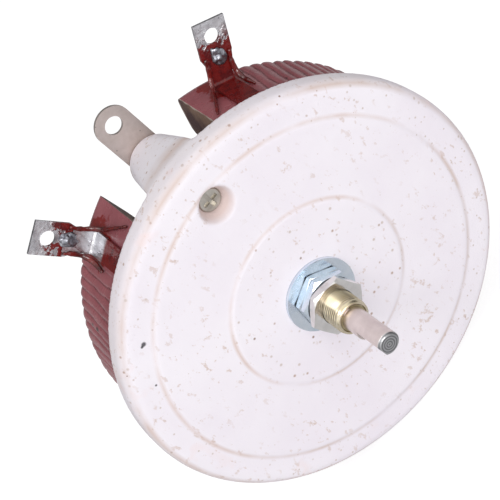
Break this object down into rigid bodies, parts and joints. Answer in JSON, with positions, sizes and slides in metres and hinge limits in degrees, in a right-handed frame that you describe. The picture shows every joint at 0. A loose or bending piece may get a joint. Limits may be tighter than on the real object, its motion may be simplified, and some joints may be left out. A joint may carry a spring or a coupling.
{
  "type": "wirewound rheostat",
  "caption": "Round panel-mount rheostat: ceramic base, C-shaped wound core, threaded bushing with nuts, flatted shaft and a sweeping contact arm.",
  "frame": {"origin": "on the shaft's axis at the seat plane, the middle of the base's front face where the clamping hardware sits", "axes": "-Y along the shaft towards the knob end, +Z towards the boss of the centre terminal, +X to the right seen from the front"},
  "size_m": [0.114, 0.0756, 0.1219],
  "materials": {
    "ceramic_base": "matt fired ceramic",
    "ceramic_core": "matt fired ceramic",
    "enamel": "satin vitreous enamel",
    "ribbon": "resistance ribbon, enamelled outside and bare at the back",
    "cement": "matt refractory cement",
    "end_lug": "hot-tinned",
    "centre_lug": "dull tinned",
    "collector": "satin",
    "screw_zinc": "zinc plated",
    "spring_steel": "dull",
    "terminal_nut": "zinc plated",
    "bushing_brass": "bright turned",
    "washer_zinc": "blue passivated zinc",
    "nut_zinc": "blue passivated zinc",
    "tooth_washer": "dull zinc",
    "nut_nickel": "bright nickel plated",
    "pin_steel": "ground",
    "shaft_nickel": "satin nickel plated",
    "clip_steel": "phosphated",
    "thrust_bronze": "satin",
    "hub_ceramic": "matt fired ceramic",
    "slip_bronze": "satin",
    "spring_wire": "drawn wire",
    "plate_steel": "zinc plated",
    "arm_steel": "nickel plated spring strip",
    "holder_brass": "folded sheet",
    "brush_graphite": "copper-graphite",
    "copper_braid": "braided"
  },
  "bodies": {
    "stator": {"base": "ceramic_base", "core": "ceramic_core", "enamel_coat": "enamel", "resistance_ribbon": "ribbon", "core_cement": "cement", "end_terminal_left": "end_lug", "end_terminal_right": "end_lug", "centre_terminal": "centre_lug", "collector_strip": "collector", "terminal_screw": "screw_zinc", "terminal_washer": "spring_steel", "terminal_nut": "terminal_nut", "bushing": "bushing_brass", "flat_washer": "washer_zinc", "fixing_nut": "nut_zinc", "lock_nut": "nut_zinc", "lock_washer": "tooth_washer", "panel_nut": "nut_nickel", "stop_pins": "pin_steel"},
    "rotor": {"shaft": "shaft_nickel", "front_clip": "clip_steel", "thrust_washer": "thrust_bronze", "hub": "hub_ceramic", "hub_pin": "pin_steel", "slip_ring": "slip_bronze", "hub_spring": "spring_wire", "stop_arm": "plate_steel", "contact_arm": "arm_steel", "brush_holder": "holder_brass", "brush": "brush_graphite", "pigtail": "copper_braid", "rear_washer": "plate_steel", "rear_clip": "clip_steel"}
  },
  "joints": [
    {"name": "shaft_turn", "type": "hinge", "parent": "stator", "child": "rotor", "pos_m": [0, 0, 0], "axis": [0, -1, 0], "range_deg": [-142, 142]}
  ]
}
